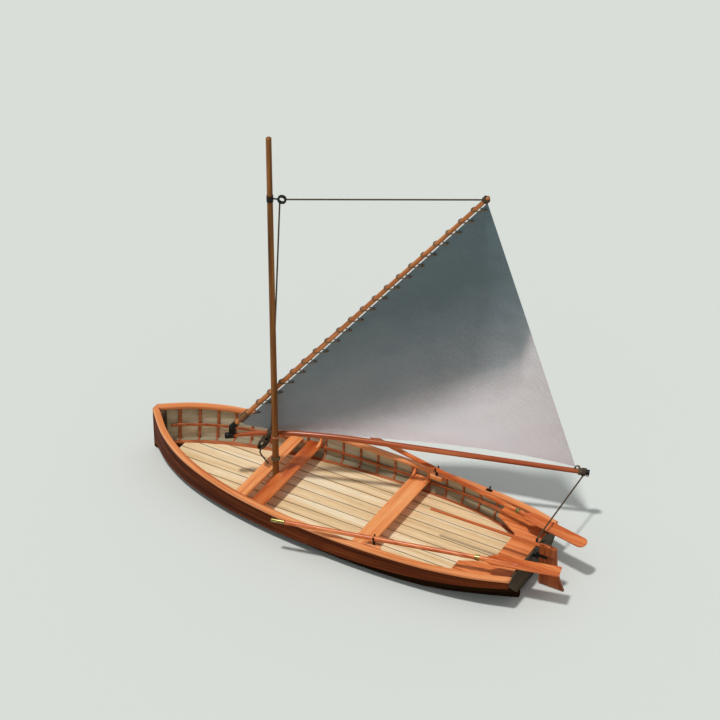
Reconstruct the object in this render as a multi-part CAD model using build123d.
from build123d import *
from bisect import bisect_right
from math import cos, hypot, radians, sin, sqrt
import os

# Open wooden sailing and rowing skiff, parked on its flat bottom.
# Frame: +X to the bow, +Y to port, +Z up, origin on the floor under the middle of the hull.
# All sizes are millimetres.

# Hull
hull_length = 4520.0          # planking, transom face to stem face
half_beam = 758.0             # outside of planking at the widest place
plank = 14.0                  # side planking
bottom_plank = 16.0
seam = 0.3                    # gap left between neighbouring pieces of one body
lap = 9.0                     # how far the upper strake laps over the lower one
lap_proud = 5.0               # and stands out over it
transom_thickness = 22.0
transom_crown = -8.0          # its top edge against the gunwale caps
hull_stations = 20            # cross sections along each plank
stem_depth = 26.0             # of the outer stem, fore and aft
bow = hull_length / 2 - stem_depth     # planking's fore end
stern = bow - hull_length              # transom's outside face

# Table of offsets of the planking, outside.
# Columns: station (share of hull length from the transom), half breadth at the sheer, height of
# the sheer, half breadth and height of the knuckle between the strakes, half breadth and height
# of the bottom. Breadths are shares of half_beam and heights are millimetres.
OFFSETS = [
    # station, sheer_y, sheer_z, knuckle_y, knuckle_z, bottom_y, bottom_z
    (0.000, 0.700, 382.0, 0.722, 288.0, 0.452, 74.0),
    (0.085, 0.845, 364.0, 0.862, 240.0, 0.655, 31.0),
    (0.195, 0.944, 342.0, 0.957, 180.0, 0.850, 24.0),
    (0.330, 0.992, 330.0, 0.997, 132.0, 0.912, 22.0),
    (0.460, 1.000, 330.0, 0.985, 107.0, 0.900, 22.0),
    (0.600, 0.966, 350.0, 0.930, 95.0, 0.812, 22.0),
    (0.735, 0.865, 389.0, 0.800, 87.0, 0.652, 22.0),
    (0.850, 0.675, 437.0, 0.595, 81.0, 0.440, 22.0),
    (0.935, 0.392, 484.0, 0.335, 78.0, 0.215, 22.0),
    (1.000, 0.032, 530.0, 0.032, 76.0, 0.032, 22.0),
]

# Stem and foot
stem_width = 44.0
stem_front_width = 26.0
inner_stem_length = 46.0
inner_stem_back = 60.0        # from the stem to its fore face
keel_width = 70.0
keel_aft_gap = 60.0           # the keel strip stops short of the transom
runner_width = 40.0
runner_start = 0.0            # share of the length where the bilge runners begin
runner_end = 0.80
runner_inset = 34.0           # from the edge of the bottom

# Gunwales, ribs and stringers
cap_width = 72.0
cap_depth = 32.0
cap_overhang = 18.0
cap_round = 9.0
cap_least = 3.0               # its width where it runs out at the stem
rib_width = 20.0
rib_depth = 14.0
rib_pitch = 205.0
rib_first = 150.0             # from the transom
ribbed_share = 0.81           # of the length, at this pitch
rib_count = 1 + int((ribbed_share * hull_length - rib_first) / rib_pitch)
bow_rib_pitch = 172.0
bow_rib_count = 4
log_width = 30.0              # chine log in the corner of the bottom
log_height = 20.0
riser_depth = 14.0            # stringer that the thwarts rest on
riser_height = 26.0
riser_z = 164.0               # its middle amidships
riser_sheer_share = 0.55      # how much of the sheer it follows
stringer_end = 0.970          # share of the length where the stringers stop

# Floor
timber_height = 12.0
timber_width = 34.0
timber_pitch = 410.0
timber_first = 120.0          # from the boards' aft ends
timber_last = 300.0           # at least this far from their fore ends
sole_thickness = 12.0
sole_board = 128.0
sole_gap = 5.0
sole_boards_across = 9
sole_margin = 4.0
sole_fore = bow - 274.0
sole_aft = stern + 386.0
timber_count = 1 + int((sole_fore - sole_aft - timber_first - timber_last) / timber_pitch)

# Thwarts: name, fore edge, aft edge
mast_x = bow - 1500.0
thwart_thickness = 28.0
thwart_round = 10.0
THWARTS = [
    ("forward_thwart", mast_x + 192.0, mast_x + 48.0),
    ("mast_thwart", mast_x - 24.0, mast_x - 182.0),
    ("middle_thwart", stern + 1771.0, stern + 1566.0),
]
thwart_groove_width = 6.0
thwart_groove_depth = 5.0
knee_arm = 110.0
knee_thickness = 26.0
knee_gap = 5.0                # under the gunwale cap
knee_tip = 12.0
knee_toe = 10.0
knee_set = 8.0                # from the thwart's edges
board_end_gap = 1.0           # thwart and seat ends off the ribs

# Stern seat, a U of boards round the stern
seat_front = stern + 371.0
seat_wing_front = stern + 666.0
seat_wing_width = 150.0
seat_wing_root = 260.0        # width of the starboard wing where it leaves the seat
wide_wing_width = 330.0       # port wing
wide_wing_root = 400.0
seat_thickness = 22.0
seat_round = 30.0

# Mast
mast_foot_radius = 35.0
mast_head_radius = 28.0
mast_top = 4266.0
mast_step_size = 150.0
mast_step_height = 46.0
mast_tenon_depth = 30.0
partner_clearance = 0.4
band_height = 26.0
band_wall = 5.0
masthead_z = 3580.0
mast_head_chamfer = 6.0
fixed_band_share = 0.6        # of a band's height
fixed_band_gap = 0.1
running_gap = 0.5

# Rig, drawn in a vertical plane beside the mast; t runs aft along the boom from the mast
rig_angle = 20.2              # swing of the boom to starboard at rest
rig_offset = 70.0             # from the mast axis to the middle of yard and boom
yard_radius = 27.0
yard_tip_radius = 19.0
YARD_FOOT = (-479.0, 685.0)
YARD_PEAK = (2146.0, 3777.0)
boom_radius = 27.0
BOOM_POINTS = [(-541.0, 574.0), (150.0, 724.0), (1700.0, 660.0), (3268.0, 581.0)]
BOOM_BENDS = [2600.0, 9000.0]
jaw_radius = 34.0
jaw_length = 92.0
jaw_bridge_shift = 10.0
sail_thickness = 4.0
sail_belly = 210.0            # of its foot, to starboard
sail_head_share = 0.985       # height of the small top section
sail_tack_share = 0.032       # along the yard
sail_peak_share = 0.985
SAIL_CLEW = (3125.0, 640.0)
halyard_radius = 5.0
block_radius = 46.0
block_hole = 26.0
block_thickness = 26.0
block_reach = 120.0
ring_arm = 12.0
tip_cap_length = 34.0
tip_cap_wall = 3.0
eye_radius = 12.0
eye_wire = 5.0
parrel_wall = 5.0
parrel_height = 16.0
halyard_tie = 30.0

# Oars
rowlock_x = stern + 1462.0
rowlock_y = 658.0
oar_z = 409.0
oar_radius = 24.0
oar_inboard = 1086.0
oar_outboard = 1917.0
oar_grip_length = 150.0
oar_grip_radius = 21.0
blade_length = 800.0
blade_width = 150.0
blade_thickness = 12.0
blade_dish = 10.0
blade_shoulder = 110.0        # from the neck to the full width
blade_spine_share = 0.6       # how far the shaft runs into the blade
blade_neck_width = 0.7        # of the shaft
BLADE_CORNERS = {"port": 14.0, "starboard": 60.0}
collar_length = 46.0
collar_radius = 28.0
collar_setback = 70.0         # from the blade's neck
OAR_ANGLES = {"port": 13.7, "starboard": 10.6}
rowlock_wall = 7.0
rowlock_gap = 0.4
rowlock_horn = 32.0           # above the oar's axis
quarter_throat = 18.4
quarter_horn = 11.0           # the spare one is low enough for the oar to sweep over it
horn_knob = 5.2
neck_overlap = 2.0
rowlock_width = 16.0
pin_radius = 6.5
pin_length = 60.0
pin_clearance = 0.05
pad_length = 190.0
pad_width = 58.0
pad_height = 44.0
pad_proud = 4.0               # above the sheer
plate_length = 70.0
plate_width = 34.0
plate_thickness = 4.0
pad_cheek = 30.0              # how much shorter its inner face is at each end
rowlock_neck = 13.0

# Rudder and tiller
rudder_axis_x = stern - 44.0
rudder_thickness = 26.0
rudder_foot = 14.0
rudder_top = 505.0
rudder_gap = 28.0             # from the pins' axis to the rudder
rudder_head_length = 185.0
rudder_head_width = 56.0
rudder_head_height = 105.0
rudder_waist = 192.0
rudder_waist_z = 336.0
rudder_foot_length = 280.0
rudder_head_slope = 18.0      # how much lower its aft corner is
rudder_hollow = 14.0
cheek_drop = 10.0             # cheeks below the top
cheek_chamfer = 8.0
cheek_share = 0.94            # of the head's length
tiller_socket_share = 0.62    # of the head's length
strap_length = 90.0
iron_wall = 4.0
gudgeon_width = 84.0
eye_outer = 16.0
irons_z = (170.0, 330.0)
iron_height = 30.0
pintle_radius = 7.0
pintle_clearance = 0.06
pintle_extra = 14.0           # longer than the eye it stands in
tiller_front = stern + 1176.0
tiller_front_z = 454.0
tiller_aft_z = 482.0
tiller_radius_front = 13.0
tiller_radius_aft = 18.0

# Stern fittings
block_post_y = -95.0
thole_x = stern + 866.0
sheave_radius = 21.0
sheave_width = 16.0
sheave_pitch = 40.0           # between the two sheaves of the block
block_foot_length = 34.0
block_foot_thickness = 4.0
block_post_radius = 5.0
block_post_height = 14.0
cleat_y = -185.0
cleat_drop = 18.0             # under the sheer
cleat_base = (8.0, 44.0, 22.0)
cleat_post = (18.0, 26.0, 14.0)
cleat_horn_radius = 6.0
cleat_horn_length = 96.0


def station_x(share):
    """Distance along the hull for a share of its length, from the transom."""
    return stern + share * hull_length


def table_slope(column, row):
    """Slope of one column at one row, from the rows on each side."""
    low = max(row - 1, 0)
    high = min(row + 1, len(OFFSETS) - 1)
    run = station_x(OFFSETS[high][0]) - station_x(OFFSETS[low][0])
    return (OFFSETS[high][column] - OFFSETS[low][column]) / run


def fair(x, column):
    """Fair cubic through one column of the table, at x."""
    xs = [station_x(row[0]) for row in OFFSETS]
    i = min(max(bisect_right(xs, x) - 1, 0), len(xs) - 2)
    run = xs[i + 1] - xs[i]
    s = min(max((x - xs[i]) / run, 0.0), 1.0)
    a, b = OFFSETS[i][column], OFFSETS[i + 1][column]
    ta, tb = table_slope(column, i) * run, table_slope(column, i + 1) * run
    return ((2 * s**3 - 3 * s**2 + 1) * a + (s**3 - 2 * s**2 + s) * ta
            + (3 * s**2 - 2 * s**3) * b + (s**3 - s**2) * tb)


STATIONS = [station_x(i / hull_stations) for i in range(hull_stations + 1)]
STATIONS.insert(-1, 0.5 * (STATIONS[-1] + STATIONS[-2]))


def chord(x, value):
    """Value at x on straight runs between the stations, as the planks are made."""
    i = min(max(bisect_right(STATIONS, x) - 1, 0), len(STATIONS) - 2)
    s = (x - STATIONS[i]) / (STATIONS[i + 1] - STATIONS[i])
    return (1 - s) * value(STATIONS[i]) + s * value(STATIONS[i + 1])


def slant(x, column):
    """How much longer a thickness is measured square to the centreline than square to the plank."""
    step = 20.0
    low = max(x - step, STATIONS[0])
    high = min(x + step, STATIONS[-1])
    slope = half_beam * (fair(high, column) - fair(low, column)) / (high - low)
    return sqrt(1 + slope * slope)


def corners(x, inward=0.0):
    """Sheer, knuckle and bottom corners of the planking at x, moved inward square to the plank."""
    def pair(xx):
        rows = []
        for y_column, z_column in ((1, 2), (3, 4), (5, 6)):
            y = half_beam * fair(xx, y_column) - inward * slant(xx, y_column)
            rows.append((y, fair(xx, z_column)))
        return rows
    result = []
    for k in range(3):
        y = chord(x, lambda xx: pair(xx)[k][0])
        z = chord(x, lambda xx: pair(xx)[k][1])
        result.append((max(y, 0.5), z))
    return result


def between(low, high, z):
    """Point at height z on the line from low to high."""
    s = (z - low[1]) / (high[1] - low[1])
    return (low[0] + s * (high[0] - low[0]), z)


def ring(x, points):
    """Closed wire in the cross section at x."""
    return Wire.make_polygon([Vector(x, y, z) for y, z in points], close=True)


def plank_through(section, xs):
    """Plank whose section at each x is a polygon, straight between the stations."""
    return Solid.make_loft([ring(x, section(x)) for x in xs], ruled=True)


def spread(start, end):
    """The stations between two places, with both ends."""
    low, high = min(start, end), max(start, end)
    return [low] + [x for x in STATIONS if low + 1 < x < high - 1] + [high]


def other_side(shape):
    """The same piece on the starboard side."""
    return mirror(shape, about=Plane.XZ)


def save(name, *shapes):
    """Write one sub-part."""
    solids = [solid for shape in shapes for solid in shape.solids()]
    export_step(Compound(children=solids) if len(solids) > 1 else solids[0], f"parts/{name}.step")


def save_pair(name, *shapes):
    """Write a port piece and its mirror image."""
    save(f"{name}_port", *shapes)
    save(f"{name}_starboard", *[other_side(shape) for shape in shapes])


# Planking


def upper_strake_section(x):
    sheer, knuckle, bottom = corners(x)
    sheer_in, knuckle_in, _ = corners(x, plank)
    low = knuckle[1] - lap
    land = between(bottom, knuckle, low)
    top = sheer[1] - cap_depth - seam
    return [between(knuckle, sheer, top), (knuckle[0] + lap_proud, low), (land[0] + 2 * seam, low),
            (knuckle[0] + 2 * seam, knuckle[1] + seam), (knuckle_in[0], knuckle[1] + seam),
            between(knuckle_in, sheer_in, top)]


def lower_strake_section(x):
    _, knuckle, bottom = corners(x)
    _, knuckle_in, bottom_in = corners(x, plank)
    foot = bottom[1] + bottom_plank + seam
    return [knuckle, between(bottom, knuckle, foot), between(bottom_in, knuckle_in, foot), knuckle_in]


def bottom_section(x):
    _, _, bottom = corners(x)
    y = bottom[0]
    z = bottom[1]
    return [(-y, z), (y, z), (y, z + bottom_plank), (-y, z + bottom_plank)]


def cap_section(x):
    """Gunwale cap with a rounded outer edge."""
    sheer = corners(x, -cap_overhang)[0]
    inner = max(corners(x, cap_width - cap_overhang)[0][0], 0.5)
    outer = max(sheer[0], inner + cap_least)
    edge = min(cap_round, 0.4 * (outer - inner))
    top, low = sheer[1], sheer[1] - cap_depth
    return [(inner, low), (outer - 0.3 * edge, low), (outer, low + edge), (outer, top - edge),
            (outer - edge, top), (inner, top)]


def transom():
    """Board between the ends of the planks, its foot arched to the bottom boards."""
    aft = STATIONS[0]
    sheer, knuckle, bottom = corners(aft, plank + seam)
    under_cap = min(sheer[1], corners(aft + transom_thickness)[0][1]) - cap_depth - seam
    inside_cap = cap_section(aft)[0][0] - seam
    foot = bottom[1] + bottom_plank + seam
    half = [(inside_cap, sheer[1] + transom_crown), (inside_cap, under_cap),
            between(knuckle, sheer, under_cap), knuckle, between(bottom, knuckle, foot)]
    outline = half + [(-y, z) for y, z in reversed(half)]
    return plank_through(lambda x: outline, [aft, aft + transom_thickness])


def stem():
    """Outer stem, tapered to its front edge."""
    x = STATIONS[-1] + seam
    top = OFFSETS[-1][2]
    back, front = stem_width / 2, stem_front_width / 2
    outline = [(x, -back), (x + stem_depth, -front), (x + stem_depth, front), (x, back)]
    base = Face(Wire.make_polygon([Vector(px, py, 0) for px, py in outline], close=True))
    return extrude(base, top - cap_depth - seam, dir=(0, 0, 1))


def inner_stem():
    """Block behind the stem that the plank ends are nailed to."""
    x = STATIONS[-1] - inner_stem_back
    foot = bottom_section(x)[2][1] + seam

    def section(xx):
        sheer, knuckle, bottom = corners(xx, plank + 1.0)
        y = max(min(sheer[0], knuckle[0], bottom[0]) - 1.0, 1.0)
        top = fair(xx, 2) - cap_depth - seam
        return [(-y, foot), (y, foot), (y, top), (-y, top)]
    return plank_through(section, [x - inner_stem_length, x])


def keel():
    """Flat strip under the middle of the bottom, down to the floor."""
    def section(x):
        z = corners(x)[2][1] - seam
        y = min(keel_width / 2, corners(x)[2][0])
        return [(-y, 0), (y, 0), (y, z), (-y, z)]
    return plank_through(section, spread(STATIONS[0] + keel_aft_gap, STATIONS[-1]))


def runner():
    """Strip under one edge of the bottom, deep at the stern where the bottom rises."""
    def section(x):
        y, z = corners(x)[2]
        outer = y - runner_inset
        return [(outer - runner_width, 0), (outer, 0), (outer, z - seam), (outer - runner_width, z - seam)]
    return plank_through(section, spread(station_x(runner_start), station_x(runner_end)))


# Ribs and stringers


def inside_y(x, z, inward):
    """Half breadth inside the planking at height z."""
    sheer, knuckle, bottom = corners(x, inward)
    if z >= knuckle[1]:
        return between(knuckle, sheer, z)[0]
    return between(bottom, knuckle, z)[0]


def log_top(x):
    return corners(x)[2][1] + bottom_plank + seam + log_height


def rib(x):
    """One bent rib from the chine log to the gunwale."""
    def section(xx):
        low = log_top(xx) + seam
        top = corners(xx)[0][1] - cap_depth - seam
        knee = max(corners(xx)[1][1], low + seam)
        out = [(inside_y(xx, z, plank + seam), z) for z in (low, knee, top)]
        inner = [(inside_y(xx, z, plank + seam + rib_depth), z) for z in (top, knee, low)]
        return out + inner
    return plank_through(section, [x - rib_width / 2, x + rib_width / 2])


def rib_places():
    """Middle of each rib, at a closer pitch towards the bow."""
    places = [stern + rib_first + i * rib_pitch for i in range(rib_count)]
    return places + [places[-1] + (i + 1) * bow_rib_pitch for i in range(bow_rib_count)]


def log_inner(x):
    """Half breadth of the chine log's inner face."""
    return inside_y(x, log_top(x) - log_height, plank + seam) - log_width


def chine_log():
    """Strip in the corner between the bottom and the lower strake."""
    def section(x):
        top = log_top(x)
        low = top - log_height
        return [(log_inner(x), low), (inside_y(x, low, plank + seam), low),
                (inside_y(x, top, plank + seam), top), (log_inner(x), top)]
    return plank_through(section, spread(STATIONS[0] + transom_thickness + seam, station_x(stringer_end)))


def riser_middle(x):
    """Height of the middle of the riser, which follows part of the sheer."""
    return riser_z + riser_sheer_share * (corners(x)[0][1] - corners(station_x(0.4))[0][1])


def riser_face(x, depth):
    return plank + rib_depth + 4 * seam + depth


def riser():
    """Stringer laid over the ribs, which the thwarts rest on."""
    def section(x):
        z = riser_middle(x)
        low, high = z - riser_height / 2, z + riser_height / 2
        return [(inside_y(x, low, riser_face(x, 0)), low), (inside_y(x, high, riser_face(x, 0)), high),
                (inside_y(x, high, riser_face(x, riser_depth)), high),
                (inside_y(x, low, riser_face(x, riser_depth)), low)]
    return plank_through(section, spread(STATIONS[0] + transom_thickness + seam, station_x(stringer_end)))


# Floor


def floor_z():
    return OFFSETS[4][6] + bottom_plank + seam


def floor_timbers():
    """Cross pieces on the bottom under the boards."""
    pieces = []
    for i in range(timber_count):
        x = sole_aft + timber_first + i * timber_pitch
        ends = [corners(x + side * timber_width / 2)[2][0] for side in (-1, 1)]
        y = min(ends) - plank * 1.4 - log_width - 4 * seam
        top = floor_z() + timber_height
        low = max(corners(x - timber_width / 2)[2][1] + bottom_plank + seam, floor_z())
        pieces.append(Pos(x, 0, (low + top) / 2) * Box(timber_width, 2 * y, top - low))
    return pieces


def sole():
    """Boards laid fore and aft, cut to the shape of the floor."""
    xs = spread(sole_aft, sole_fore)
    side = [(x, max(log_inner(x) - sole_margin, 3.0)) for x in xs]
    outline = side + [(x, -y) for x, y in reversed(side)]
    z = floor_z() + timber_height + seam
    plan = Face(Wire.make_polygon([Vector(x, y, z) for x, y in outline], close=True))
    floor = extrude(plan, sole_thickness, dir=(0, 0, 1))
    boards = []
    pitch = sole_board + sole_gap
    for i in range(sole_boards_across):
        y = (i - (sole_boards_across - 1) / 2) * pitch
        width = sole_board if 0 < i < sole_boards_across - 1 else sole_board + 2 * sole_board
        shift = 0.0 if 0 < i < sole_boards_across - 1 else sole_board * (1 if i else -1)
        cutter = Pos(0, y + shift, z) * Box(2 * hull_length, width, 3 * sole_thickness)
        boards += (floor & cutter).solids()
    return boards


# Thwarts and seat


def thwart_z(fore, aft):
    """Underside of a thwart: the riser's top at its higher edge."""
    return max(riser_middle(fore), riser_middle(aft)) + riser_height / 2 + seam


def thwart(fore, aft):
    """Board across the boat, its ends cut to the ribs and its long edges rounded."""
    z = thwart_z(fore, aft)
    ends = [(x, inside_y(x, z, plank + rib_depth + 2 * seam + board_end_gap)) for x in (aft, fore)]
    outline = [(aft, -ends[0][1]), (fore, -ends[1][1]), (fore, ends[1][1]), (aft, ends[0][1])]
    plan = Face(Wire.make_polygon([Vector(x, y, z) for x, y in outline], close=True))
    board = extrude(plan, thwart_thickness, dir=(0, 0, 1))
    long_edges = [e for e in board.edges() if abs(e.tangent_at(0.5).Y) > 0.99]
    return fillet(long_edges, thwart_round)


def thwarts():
    made = {}
    for name, fore, aft in THWARTS:
        made[name] = thwart(fore, aft)
    name, fore, aft = THWARTS[0]
    top = thwart_z(fore, aft) + thwart_thickness
    groove = Pos((fore + aft) / 2, 0, top) * Box(thwart_groove_width, 4 * half_beam, 2 * thwart_groove_depth)
    made[name] = made[name] - groove
    partner_radius = mast_radius(thwart_z(*THWARTS[1][1:])) + partner_clearance
    partner = Pos(mast_x, 0, 0) * Cylinder(partner_radius, mast_top / 2)
    made["mast_thwart"] = made["mast_thwart"] - partner
    return made


def knee(thwart_place, x, side):
    """Bent knee standing on a thwart against the riser and ribs."""
    z = thwart_z(*thwart_place[1:]) + thwart_thickness + seam
    knee_rise = min(corners(x)[0][1], corners(x + knee_thickness)[0][1]) - cap_depth - knee_gap - z
    y = inside_y(x, z, riser_face(x, 2 * board_end_gap))
    top_y = inside_y(x, z + knee_rise, riser_face(x, 2 * board_end_gap))
    back = min(y, top_y)
    outer = [Vector(x, y - knee_arm, z), Vector(x, back, z), Vector(x, back, z + knee_rise)]
    tip = Vector(x, back - knee_tip, z + knee_rise)
    toe = Vector(x, y - knee_arm, z + knee_toe)
    middle = Vector(x, y - 0.36 * knee_arm, z + 0.30 * knee_rise)
    edges = [Edge.make_line(outer[0], outer[1]), Edge.make_line(outer[1], outer[2]),
             Edge.make_line(outer[2], tip), Edge.make_three_point_arc(tip, middle, toe),
             Edge.make_line(toe, outer[0])]
    shape = extrude(Face(Wire(edges)), knee_thickness, dir=(1, 0, 0))
    return shape if side > 0 else other_side(shape)


def knee_places():
    """Thwart and aft face of each knee: two on the middle thwart and one behind the mast."""
    mast_place, middle = THWARTS[1:]
    return [(middle, middle[2] + knee_set), (middle, middle[1] - knee_thickness - knee_set),
            (mast_place, mast_place[2] + knee_set)]


def seat_z():
    return riser_middle(STATIONS[0]) + riser_height / 2 + seam


def stern_seat():
    """U of boards: a wide board against the transom and a wing along each side, wider to port."""
    aft = STATIONS[0] + transom_thickness + seam
    z = seat_z()
    xs = spread(aft, seat_wing_front)

    def edge(x):
        return inside_y(x, z, plank + rib_depth + 2 * seam + board_end_gap)

    side = [(x, edge(x)) for x in xs]
    outline = side + [(x, -y) for x, y in reversed(side)]
    plan = Face(Wire.make_polygon([Vector(x, y, z) for x, y in outline], close=True))
    slab = extrude(plan, seat_thickness, dir=(0, 0, 1))
    front, root = edge(seat_wing_front), edge(seat_front)
    well = [(seat_wing_front + 1, front - wide_wing_width), (seat_front, root - wide_wing_root),
            (seat_front, seat_wing_root - root), (seat_wing_front + 1, seat_wing_width - front)]
    well = Face(Wire.make_polygon([Vector(x, y, z - seat_thickness) for x, y in well], close=True))
    well = extrude(well, 3 * seat_thickness, dir=(0, 0, 1))
    well = fillet([e for e in well.edges().filter_by(Axis.Z) if e.center().X < seat_front + 1], seat_round)
    return slab - well


# Mast


def mast_radius(z):
    return mast_foot_radius + (mast_head_radius - mast_foot_radius) * z / mast_top


def step_z():
    return floor_z() + timber_height + seam + sole_thickness + seam


def mast():
    foot = step_z() + mast_step_height - mast_tenon_depth + seam
    pole = Cone(mast_radius(foot), mast_radius(mast_top), mast_top - foot,
                align=(Align.CENTER, Align.CENTER, Align.MIN))
    pole = Pos(mast_x, 0, foot) * pole
    return chamfer(pole.edges().group_by(Axis.Z)[-1], mast_head_chamfer)


def mast_step():
    block = Pos(mast_x, 0, step_z()) * Box(mast_step_size, mast_step_size, mast_step_height,
                                           align=(Align.CENTER, Align.CENTER, Align.MIN))
    hole = Pos(mast_x, 0, step_z() + mast_step_height) * Cylinder(
        mast_radius(0) + partner_clearance, 2 * mast_tenon_depth)
    return block - hole


def band(z, height, wall, gap):
    """Iron band round the mast."""
    inner = mast_radius(z) + gap
    tube = Cylinder(inner + wall, height) - Cylinder(inner, 2 * height)
    return Pos(mast_x, 0, z) * tube


def mast_bands():
    """Two fixed bands that keep the turning ring at its height."""
    step = band_height + running_gap
    return [band(masthead_z + side * step, fixed_band_share * band_height, band_wall, fixed_band_gap)
            for side in (-1, 1)]


# Rig


def rig_point(t, z, out=0.0):
    """Point of the rig: t aft along the boom, z up, out to starboard of the plane of the spars."""
    turn = radians(rig_angle)
    aft = Vector(-cos(turn), -sin(turn), 0)
    side = Vector(sin(turn), -cos(turn), 0)
    return Vector(mast_x, 0, z) + aft * t + side * (rig_offset + out)


def rig_plane(t=0.0, z=0.0, out=0.0):
    """Plane of the spars: x aft along the boom, y up, z to port."""
    origin = rig_point(t, z, out)
    return Plane(origin=origin, x_dir=rig_point(t + 1, z, out) - origin,
                 z_dir=rig_point(t, z, out) - rig_point(t, z, out + 1))


def rod(start, end, radius, end_radius=None):
    """Round bar between two points, tapered where a second radius is given."""
    run = end - start
    plane = Plane(origin=start, z_dir=run.normalized())
    if end_radius is None or end_radius == radius:
        return Solid.make_cylinder(radius, run.length, plane)
    return Solid.make_cone(radius, end_radius, run.length, plane)


def yard_line():
    """Start, direction and length of the yard in the rig's own (t, z)."""
    run = (YARD_PEAK[0] - YARD_FOOT[0], YARD_PEAK[1] - YARD_FOOT[1])
    length = hypot(*run)
    return (run[0] / length, run[1] / length), length


def yard():
    """Spar that carries the luff of the sail, narrowing to the peak."""
    pole = rod(rig_point(*YARD_FOOT), rig_point(*YARD_PEAK), yard_radius, yard_tip_radius)
    return fillet(pole.edges().filter_by(GeomType.CIRCLE), yard_tip_radius * 0.3)


def boom_path():
    return FilletPolyline(*[rig_point(t, z) for t, z in BOOM_POINTS], radius=BOOM_BENDS)


def boom(grow=0.0):
    """Spar along the foot of the sail, bowed up near the mast; grow makes it thicker all round."""
    start, second = [rig_point(t, z) for t, z in BOOM_POINTS[:2]]
    section = Plane(origin=start, z_dir=(second - start).normalized()) * Circle(boom_radius + grow)
    return sweep(section, path=boom_path())


def heel_clasp():
    """Iron clasp that joins the heel of the yard to the heel of the boom."""
    boom_heel, boom_next = [rig_point(t, z) for t, z in BOOM_POINTS[:2]]
    boom_along = (boom_next - boom_heel).normalized()
    yard_heel, yard_peak = rig_point(*YARD_FOOT), rig_point(*YARD_PEAK)
    yard_along = (yard_peak - yard_heel).normalized()
    bridge = rig_plane(YARD_FOOT[0] + jaw_bridge_shift, (YARD_FOOT[1] + BOOM_POINTS[0][1]) / 2)
    clasp = Part() + bridge * Box(2 * jaw_radius, YARD_FOOT[1] - BOOM_POINTS[0][1], 1.2 * jaw_radius)
    for heel, along in ((boom_heel, boom_along), (yard_heel, yard_along)):
        clasp += Solid.make_cylinder(jaw_radius, jaw_length + tip_cap_wall,
                                     Plane(origin=heel - along * (seam + tip_cap_wall), z_dir=along))
    for heel, along, radius in ((boom_heel, boom_along, boom_radius), (yard_heel, yard_along, yard_radius)):
        seat = Plane(origin=heel - along * seam, z_dir=along)
        clasp -= Solid.make_cylinder(radius + seam, 2 * jaw_length, seat)
    return clasp


def luff_point(share):
    """Point of the sail's luff, just clear of the tapered yard, in (t, z)."""
    (ux, uz), length = yard_line()
    radius = yard_radius + (yard_tip_radius - yard_radius) * share + seam + sail_thickness * 0.1
    along = length * share
    return (YARD_FOOT[0] + ux * along + uz * radius, YARD_FOOT[1] + uz * along - ux * radius)


def sail():
    """Three-cornered sheet drawn from the peak over a foot that bellies to starboard.

    Its luff and leech are straight, and each section between them is an arc.
    """
    tack, peak, clew = luff_point(sail_tack_share), luff_point(sail_peak_share), SAIL_CLEW

    def section(height):
        start, end = [[low + height * (high - low) for low, high in zip(corner, peak)]
                      for corner in (tack, clew)]
        middle = [(a + b) / 2 for a, b in zip(start, end)]
        belly = sail_belly * (1 - height)
        inner, outer = [[rig_point(*start, side), rig_point(*middle, belly + side), rig_point(*end, side)]
                        for side in (-sail_thickness / 2, sail_thickness / 2)]
        return Face(Wire([Edge.make_three_point_arc(*inner), Edge.make_line(inner[2], outer[2]),
                          Edge.make_three_point_arc(*reversed(outer)), Edge.make_line(outer[0], inner[0])]))
    return loft([section(0.0), section(sail_head_share)], ruled=True)


def parrel():
    """Leather loop round the mast with its ends on the boom."""
    inner = mast_radius(BOOM_POINTS[0][1]) + running_gap
    outer = inner + parrel_wall
    reach = rig_offset - 0.4 * boom_radius
    legs = Pos(reach / 2, 0) * (Rectangle(reach, 2 * outer) - Rectangle(2 * reach, 2 * inner))
    loop = (Circle(outer) - Circle(inner) - Pos(outer, 0) * Rectangle(2 * outer, 4 * outer)) + legs
    plane = Plane(origin=(mast_x, 0, boom_height(0.0) - parrel_height),
                  x_dir=rig_point(0, 0) - rig_point(0, 0, -1), z_dir=(0, 0, 1))
    return extrude(plane * loop, parrel_height, dir=(0, 0, 1)) - boom(seam)


def boom_height(t):
    """Height of the boom's straight runs at t."""
    for (t0, z0), (t1, z1) in zip(BOOM_POINTS, BOOM_POINTS[1:]):
        if t <= t1:
            return z0 + (z1 - z0) * (t - t0) / (t1 - t0)
    return BOOM_POINTS[-1][1]


def boom_end_cap():
    """Iron cap on the boom's end with the eye for the sheet."""
    before, last = [rig_point(t, z) for t, z in BOOM_POINTS[-2:]]
    along = (before - last).normalized()
    cap_outer = boom_radius + 2 * seam + tip_cap_wall
    tube = rod(last - along * (seam + tip_cap_wall), last + along * tip_cap_length, cap_outer)
    bore_end = last + along * 2 * tip_cap_length
    tube = Part() + tube - rod(last - along * seam, bore_end, boom_radius + 2 * seam)
    lug = Box(2 * eye_radius, 2 * eye_radius, eye_wire) - Pos(0, -eye_radius * 0.2, 0) * Cylinder(
        eye_radius - eye_wire, 2 * eye_wire)
    lug_y = -(cap_outer - tip_cap_wall / 2 + eye_radius)
    return tube + rig_plane(*BOOM_POINTS[-1]) * (Pos(-tip_cap_length / 2, lug_y, 0) * lug)


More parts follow.
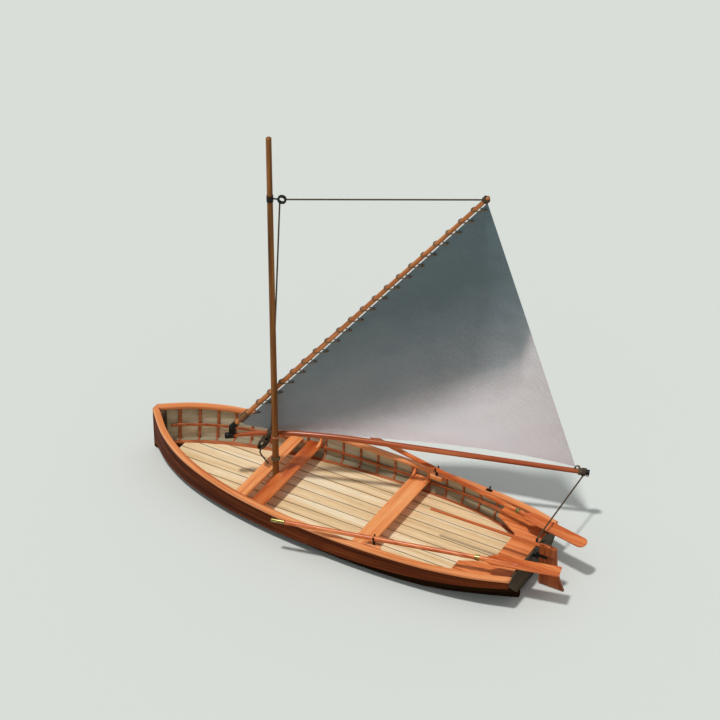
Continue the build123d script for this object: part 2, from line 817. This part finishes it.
def masthead_ring():
    """Ring that turns round the mast between the bands, with an arm to the block."""
    collar = band(masthead_z, band_height, band_wall, running_gap)
    start = mast_radius(masthead_z) + running_gap + band_wall * 0.5
    end = block_reach - block_radius - seam
    plane = rig_plane(0, masthead_z, -rig_offset)
    arm = plane * (Pos((start + end) / 2, 0, 0) * Box(end - start, ring_arm, ring_arm))
    inside = Pos(mast_x, 0, masthead_z) * Cylinder(mast_radius(masthead_z) + running_gap, 2 * band_height)
    return collar + (arm - inside)


def halyard_block():
    """Round block at the masthead, on edge in the plane of the rig."""
    plane = rig_plane(block_reach, masthead_z, -rig_offset)
    return plane * (Cylinder(block_radius, block_thickness) - Cylinder(block_hole, 2 * block_thickness))


def halyard():
    """Taut rope from the block to the peak of the yard."""
    centre = rig_point(block_reach, masthead_z, -rig_offset)
    peak = rig_point(*luff_free_peak())
    along = (peak - centre).normalized()
    rope = rod(centre + along * (block_radius + seam), peak, halyard_radius)
    spar = rod(rig_point(*YARD_FOOT), rig_point(*YARD_PEAK), yard_radius + seam, yard_tip_radius + seam)
    return rope - spar


def luff_free_peak():
    """Where the halyard meets the yard's head."""
    (ux, uz), length = yard_line()
    return (YARD_PEAK[0] - ux * halyard_tie, YARD_PEAK[1] - uz * halyard_tie)


# Oars and rowlocks


def oar_plane(angle):
    """Port oar at rest: x outboard and aft along the oar from the rowlock, z up."""
    turn = radians(angle)
    return Plane(origin=(rowlock_x, rowlock_y, oar_z), x_dir=(-cos(turn), -sin(turn), 0), z_dir=(0, 0, 1))


def oar(angle, corner):
    """Shaft that runs into a dished blade, in one piece."""
    start = -(oar_inboard - oar_grip_length) + seam
    neck = oar_outboard - blade_length
    spine_end = neck + blade_spine_share * blade_length
    low = blade_thickness * 0.4
    profile = [Vector(start, 0, 0), Vector(spine_end, 0, 0), Vector(spine_end, low, 0),
               Vector(neck, oar_radius, 0), Vector(start, oar_radius, 0)]
    shaft = revolve(Face(Wire.make_polygon(profile, close=True)), axis=Axis.X)
    half = blade_width / 2
    root = neck + oar_radius
    root_half = blade_neck_width * oar_radius
    shoulder = neck + blade_shoulder
    outline = [Vector(root, -root_half, 0), Vector(shoulder, -half, 0), Vector(oar_outboard, -half, 0),
               Vector(oar_outboard, half, 0), Vector(shoulder, half, 0), Vector(root, root_half, 0)]
    plan = Pos(0, 0, -half) * Face(Wire.make_polygon(outline, close=True))
    plan = extrude(plan, blade_width, dir=(0, 0, 1))
    tips = [e for e in plan.edges().filter_by(Axis.Z) if e.center().X > oar_outboard - 1]
    plan = fillet(tips, corner)

    def arc(z):
        side = half + blade_dish
        return Vector(neck, -side, z + blade_dish), Vector(neck, 0, z), Vector(neck, side, z + blade_dish)
    low_arc, high_arc = arc(-blade_thickness / 2), arc(blade_thickness / 2)
    section = Face(Wire([Edge.make_three_point_arc(*low_arc), Edge.make_line(low_arc[2], high_arc[2]),
                         Edge.make_three_point_arc(high_arc[2], high_arc[1], high_arc[0]),
                         Edge.make_line(high_arc[0], low_arc[0])]))
    dish = extrude(section, blade_length + blade_width, dir=(1, 0, 0))
    return oar_plane(angle) * (shaft + (dish & plan))


def oar_metal(angle):
    """Brass grip end and brass collar at the neck of the blade."""
    plane = oar_plane(angle)
    grip_end = -(oar_inboard - oar_grip_length)
    grip = rod(Vector(-oar_inboard, 0, 0), Vector(grip_end, 0, 0), oar_grip_radius)
    grip = fillet(grip.edges().filter_by(GeomType.CIRCLE), 0.45 * oar_grip_radius)
    start = Vector(oar_outboard - blade_length - collar_setback, 0, 0)
    end = start + Vector(collar_length, 0, 0)
    collar = rod(start, end, collar_radius) - rod(start, end, oar_radius + seam)
    return [plane * grip, plane * collar]


def fork(inner, horn):
    """Half ring open upward with two horns, about its own origin at the oar's axis."""
    outer = inner + rowlock_wall
    half_ring = Cylinder(outer, rowlock_width, rotation=(0, 90, 0))
    half_ring -= Pos(0, 0, outer) * Box(2 * outer, 3 * outer, 2 * outer)
    shape = half_ring
    for side in (-1, 1):
        y = side * (inner + rowlock_wall / 2)
        shape += Pos(0, y, horn / 2) * Box(rowlock_width, rowlock_wall, horn)
        shape += Pos(0, y, horn - horn_knob) * Cylinder(horn_knob, rowlock_width, rotation=(0, 90, 0))
    return shape


def throat(inner):
    return Cylinder(inner, 2 * rowlock_width, rotation=(0, 90, 0))


def crutch(origin_z, inner, pin_bottom):
    """Iron rowlock: a fork on a neck and a pin."""
    outer = inner + rowlock_wall
    neck_top = -outer + neck_overlap
    drop = origin_z - pad_top() - seam
    neck = Pos(0, 0, (neck_top - drop) / 2) * Cylinder(rowlock_neck, drop + neck_top)
    pin_foot = pin_bottom - origin_z
    pin = Pos(0, 0, (neck_top + pin_foot) / 2) * Cylinder(pin_radius, neck_top - pin_foot)
    return fork(inner, rowlock_horn) + neck + pin - throat(inner)


def pad_top():
    return chord(rowlock_x, lambda x: fair(x, 2)) + pad_proud


def rowlock(angle):
    inner = oar_radius + rowlock_gap
    return oar_plane(angle) * crutch(oar_z, inner, pad_top() - pin_length)


def rowlock_pad():
    """Wooden pad inside the gunwale with the bored iron socket for the rowlock's pin."""
    low = pad_top() - pad_height
    ends = (rowlock_x - pad_length / 2, rowlock_x + pad_length / 2)
    outer = [cap_inner(x) - seam for x in ends]
    middle = cap_inner(rowlock_x) - seam
    flat = min(outer + [middle])
    inner_y = rowlock_y - pad_width / 2
    plan = Face(Wire.make_polygon([Vector(ends[0], flat, low), Vector(ends[1], flat, low),
                                   Vector(ends[1] - pad_cheek, inner_y, low),
                                   Vector(ends[0] + pad_cheek, inner_y, low)], close=True))
    pad = extrude(plan, pad_height, dir=(0, 0, 1))
    hole = Pos(rowlock_x, rowlock_y, low) * Cylinder(pin_radius + pin_clearance, 3 * pad_height)
    return pad - hole


def cap_inner(x):
    """Half breadth of the gunwale cap's inner edge."""
    return chord(x, lambda xx: cap_section(xx)[0][0])


def quarter_crutch():
    """Spare rowlock standing on the starboard gunwale near the stern."""
    y = chord(thole_x, lambda xx: (cap_section(xx)[0][0] + cap_section(xx)[2][0]) / 2)
    top = max(chord(thole_x + end, lambda xx: fair(xx, 2)) for end in (-plate_length / 2, plate_length / 2))
    inner = quarter_throat
    drop = inner + rowlock_wall
    neck = Pos(0, 0, -drop + rowlock_wall / 2) * Cylinder(rowlock_neck, rowlock_wall)
    plate = Pos(0, 0, -drop + plate_thickness / 2) * Box(plate_length, plate_width, plate_thickness)
    shape = fork(inner, quarter_horn) + neck + plate - throat(inner)
    return Pos(thole_x, -y, top + seam + drop) * shape


# Rudder and stern


def rudder():
    """Blade with a waist and a flared foot under a thick head that holds the tiller."""
    fore = rudder_axis_x - rudder_gap
    half = rudder_thickness / 2
    head_aft = fore - rudder_head_length
    waist_aft = fore - rudder_waist
    foot_aft = fore - rudder_foot_length
    foot, top = Vector(fore, 0, rudder_foot), Vector(fore, 0, rudder_top)
    head = Vector(head_aft, 0, rudder_top - rudder_head_slope)
    waist = Vector(waist_aft, 0, rudder_waist_z)
    hollow = Vector((waist_aft + foot_aft) / 2 + rudder_hollow, 0, 0.47 * rudder_waist_z)
    heel = Vector(foot_aft, 0, rudder_foot)
    edges = [Edge.make_line(foot, top), Edge.make_line(top, head), Edge.make_line(head, waist),
             Edge.make_three_point_arc(waist, hollow, heel), Edge.make_line(heel, foot)]
    blade = extrude(Pos(0, half, 0) * Face(Wire(edges)), rudder_thickness, dir=(0, -1, 0))
    cheek_low = rudder_top - rudder_head_height
    cheek_top = rudder_top - cheek_drop
    cheek_length = cheek_share * rudder_head_length
    cheeks = Pos(fore - cheek_length / 2, 0, (cheek_low + cheek_top) / 2) * Box(
        cheek_length, rudder_head_width, cheek_top - cheek_low)
    cheeks = chamfer(cheeks.edges().filter_by(Axis.Z), cheek_chamfer)
    blade_and_head = blade + cheeks
    socket = rod(tiller_point(tiller_front), tiller_point(tiller_aft()) + tiller_along(),
                 tiller_radius_front + seam, tiller_radius_aft + seam)
    return blade_and_head - socket


def tiller_aft():
    return rudder_axis_x - rudder_gap - tiller_socket_share * rudder_head_length


def tiller_point(x):
    share = (tiller_front - x) / (tiller_front - tiller_aft())
    return Vector(x, 0, tiller_front_z + share * (tiller_aft_z - tiller_front_z))


def tiller_along():
    return (tiller_point(tiller_aft()) - tiller_point(tiller_front)).normalized()


def tiller():
    """Round tapered bar from the rudder head forward over the stern seat."""
    bar = rod(tiller_point(tiller_front), tiller_point(tiller_aft()), tiller_radius_front, tiller_radius_aft)
    front = bar.edges().filter_by(GeomType.CIRCLE).sort_by(Axis.X)[-1]
    return fillet(front, 0.6 * tiller_radius_front)


def rudder_irons():
    """Straps round the rudder's fore edge, each with a pin pointing down."""
    pieces = []
    fore = rudder_axis_x - rudder_gap
    half = rudder_thickness / 2 + seam
    for z in irons_z:
        middle = z + iron_height + running_gap
        strap = Box(strap_length, 2 * (half + iron_wall), iron_height)
        strap = Pos(fore - strap_length / 2 + iron_wall + seam, 0, middle) * strap
        blade = Pos(fore + seam - strap_length, 0, middle) * Box(2 * strap_length, 2 * half, 2 * iron_height)
        lug = Pos((rudder_axis_x + fore) / 2, 0, middle) * Box(rudder_gap, eye_outer, iron_height)
        eye = Pos(rudder_axis_x, 0, middle) * Cylinder(eye_outer * 0.9, iron_height)
        pin = Pos(rudder_axis_x, 0, z) * Cylinder(pintle_radius, iron_height + pintle_extra)
        pieces.append(strap + lug + eye + pin - blade)
    return pieces


def transom_irons():
    """Gudgeons: plates on the transom with an eye each."""
    pieces = []
    face = STATIONS[0] - seam
    for z in irons_z:
        plate = Pos(face - iron_wall / 2, 0, z) * Box(iron_wall, gudgeon_width, iron_height)
        arm = Pos((face + rudder_axis_x) / 2, 0, z) * Box(face - rudder_axis_x, eye_outer, iron_height)
        eye = Pos(rudder_axis_x, 0, z) * Cylinder(eye_outer * 0.9, iron_height)
        bore = Pos(rudder_axis_x, 0, z) * Cylinder(pintle_radius + pintle_clearance, 2 * iron_height)
        pieces.append(plate + arm + eye - bore)
    return pieces


def sheet_block():
    """Double block of the sheet on its eye on the transom's top edge."""
    top = chord(STATIONS[0], lambda x: fair(x, 2)) + transom_crown + seam
    x = STATIONS[0] + transom_thickness / 2
    foot = Pos(x, block_post_y, top + block_foot_thickness / 2) * Box(
        transom_thickness, block_foot_length, block_foot_thickness)
    post_length = block_post_height + neck_overlap
    post = Pos(x, block_post_y, top + post_length / 2) * Cylinder(block_post_radius, post_length)
    lower = Pos(x, block_post_y, top + block_post_height + sheave_radius) * Cylinder(
        sheave_radius, sheave_width, rotation=(0, 90, 0))
    return foot + post + lower + Pos(0, 0, sheave_pitch) * lower


def stern_cleat():
    """Iron cleat on the outside of the transom, on the starboard side."""
    face = STATIONS[0] - seam
    z = chord(STATIONS[0], lambda x: fair(x, 2)) - cleat_drop
    base = Pos(face - cleat_base[0] / 2, cleat_y, z) * Box(*cleat_base)
    post_x = face - cleat_base[0] - cleat_post[0] / 2
    post = Pos(post_x, cleat_y, z) * Box(*cleat_post)
    horn = Pos(post_x - cleat_post[0] / 2 + cleat_horn_radius, cleat_y, z) * Cylinder(
        cleat_horn_radius, cleat_horn_length, rotation=(90, 0, 0))
    return base + post + horn


def build():
    os.makedirs("parts", exist_ok=True)
    save_pair("upper_strake", plank_through(upper_strake_section, STATIONS))
    save_pair("lower_strake", plank_through(lower_strake_section, STATIONS))
    save("bottom_planking", plank_through(bottom_section, STATIONS))
    save_pair("gunwale", plank_through(cap_section, STATIONS))
    save("transom", transom())
    save("stem", stem())
    save("inner_stem", inner_stem())
    save("keel_strip", keel())
    save_pair("bilge_runner", runner())
    save_pair("ribs", *[rib(x) for x in rib_places()])
    save_pair("chine_log", chine_log())
    save_pair("riser", riser())
    save("floor_timbers", *floor_timbers())
    save("sole_boards", *sole())
    for name, shape in thwarts().items():
        save(name, shape)
    save("thwart_knees", *[knee(place, x, side) for side in (1, -1) for place, x in knee_places()])
    save("stern_seat", stern_seat())
    save("mast", mast())
    save("mast_step", mast_step())
    save("mast_bands", *mast_bands())
    save("yard", yard())
    save("boom", boom())
    save("heel_clasp", heel_clasp())
    save("sail", sail())
    save("parrel", parrel())
    save("boom_end_cap", boom_end_cap())
    save("masthead_ring", masthead_ring())
    save("halyard_block", halyard_block())
    save("halyard", halyard())
    for side, angle in OAR_ANGLES.items():
        turn = other_side if side == "starboard" else (lambda shape: shape)
        save(f"oar_{side}", turn(oar(angle, BLADE_CORNERS[side])))
        save(f"oar_brass_{side}", *[turn(piece) for piece in oar_metal(angle)])
        save(f"rowlock_{side}", turn(rowlock(angle)))
        save(f"rowlock_pad_{side}", turn(rowlock_pad()))
    save("quarter_rowlock", quarter_crutch())
    save("rudder", rudder())
    save("tiller", tiller())
    save("rudder_irons", *rudder_irons())
    save("transom_irons", *transom_irons())
    save("sheet_block", sheet_block())
    save("stern_cleat", stern_cleat())


build()
